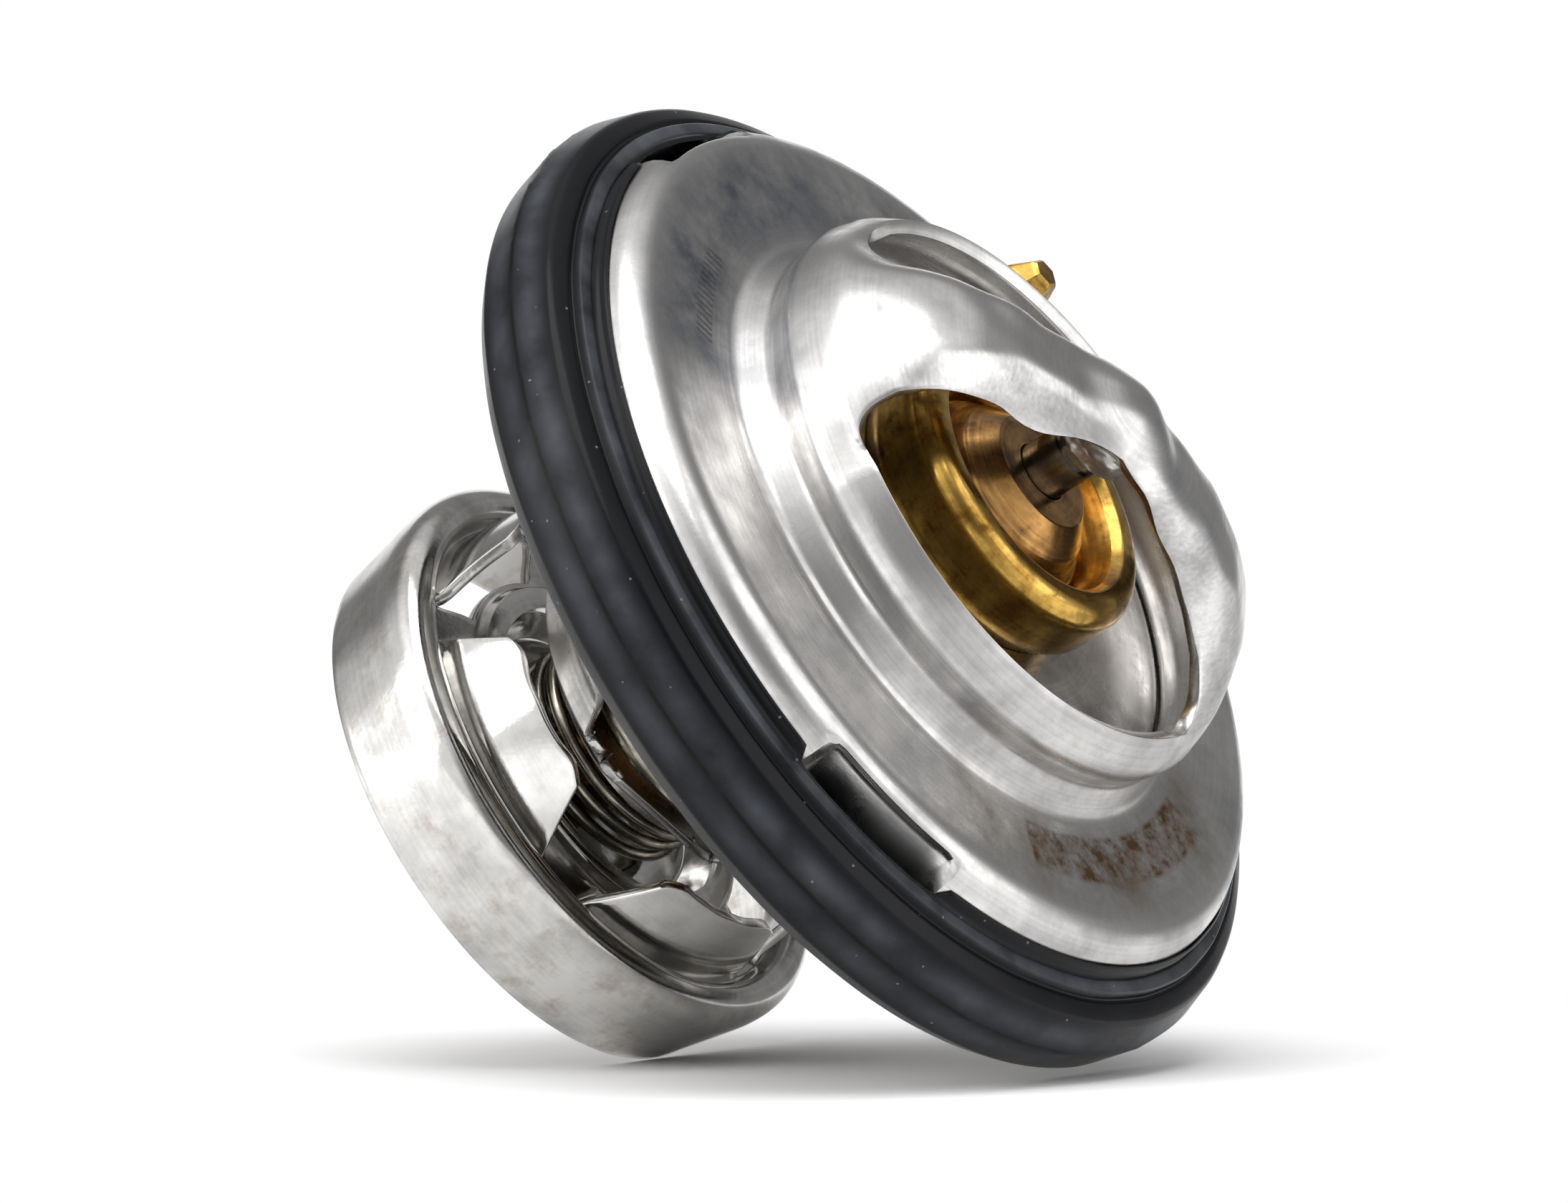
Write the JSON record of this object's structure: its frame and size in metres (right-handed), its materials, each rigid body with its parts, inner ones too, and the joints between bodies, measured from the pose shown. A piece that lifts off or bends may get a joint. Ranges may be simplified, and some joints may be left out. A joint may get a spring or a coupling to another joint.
{
  "type": "engine coolant thermostat",
  "caption": "Wax-element coolant thermostat: bridged sheet-metal dome and flange with a rubber ring seal, spring-loaded main valve, legged frame and a sprung ring bypass valve.",
  "frame": {"origin": "centre of the bypass ring's lower rim, in the plane of that rim", "axes": "+Z along the thermostat's axis from the bypass ring to the dome; X along the dome's bridge and the frame's legs"},
  "size_m": [0.0666, 0.0666, 0.0512],
  "materials": {
    "upper_housing": "satin stainless sheet",
    "lower_frame": "satin stainless sheet",
    "rubber_seal": "semi-gloss moulded rubber",
    "piston_pin": "ground steel",
    "main_spring": "drawn wire",
    "valve_disc": "bright stainless sheet",
    "valve_shell": "bright brass",
    "element_guide": "tarnished brass",
    "wax_cup": "tarnished brass",
    "wax_charge": "copper-filled wax",
    "rubber_boot": "matt rubber",
    "seal_ring": "fluoropolymer",
    "spring_seat_washer": "stamped sheet",
    "retaining_clip": "hardened spring steel",
    "bypass_spring": "drawn wire",
    "bypass_ring": "polished stainless sheet",
    "jiggle_pin": "turned brass"
  },
  "bodies": {
    "housing": {"upper_housing": "upper_housing", "lower_frame": "lower_frame", "rubber_seal": "rubber_seal", "piston_pin": "piston_pin", "main_spring": "main_spring"},
    "wax_element": {"valve_disc": "valve_disc", "valve_shell": "valve_shell", "element_guide": "element_guide", "wax_cup": "wax_cup", "wax_charge": "wax_charge", "rubber_boot": "rubber_boot", "seal_ring": "seal_ring", "spring_seat_washer": "spring_seat_washer", "retaining_clip": "retaining_clip", "bypass_spring": "bypass_spring"},
    "bypass_valve": {"bypass_ring": "bypass_ring"},
    "jiggle": {"jiggle_pin": "jiggle_pin"}
  },
  "joints": [
    {"name": "valve_slide", "type": "slide", "parent": "housing", "child": "wax_element", "axis": [0, 0, -1], "range_m": [0, 0.008], "stiffness_N_per_m": 2800, "springref_m": -0.022, "deforming": ["main_spring"]},
    {"name": "bypass_slide", "type": "slide", "parent": "wax_element", "child": "bypass_valve", "axis": [0, 0, 1], "range_m": [0, 0.0009], "stiffness_N_per_m": 1300, "springref_m": -0.008, "deforming": ["bypass_spring"]},
    {"name": "jiggle_lift", "type": "slide", "parent": "housing", "child": "jiggle", "axis": [0, 0, 1], "range_m": [0, 0.0012]}
  ]
}
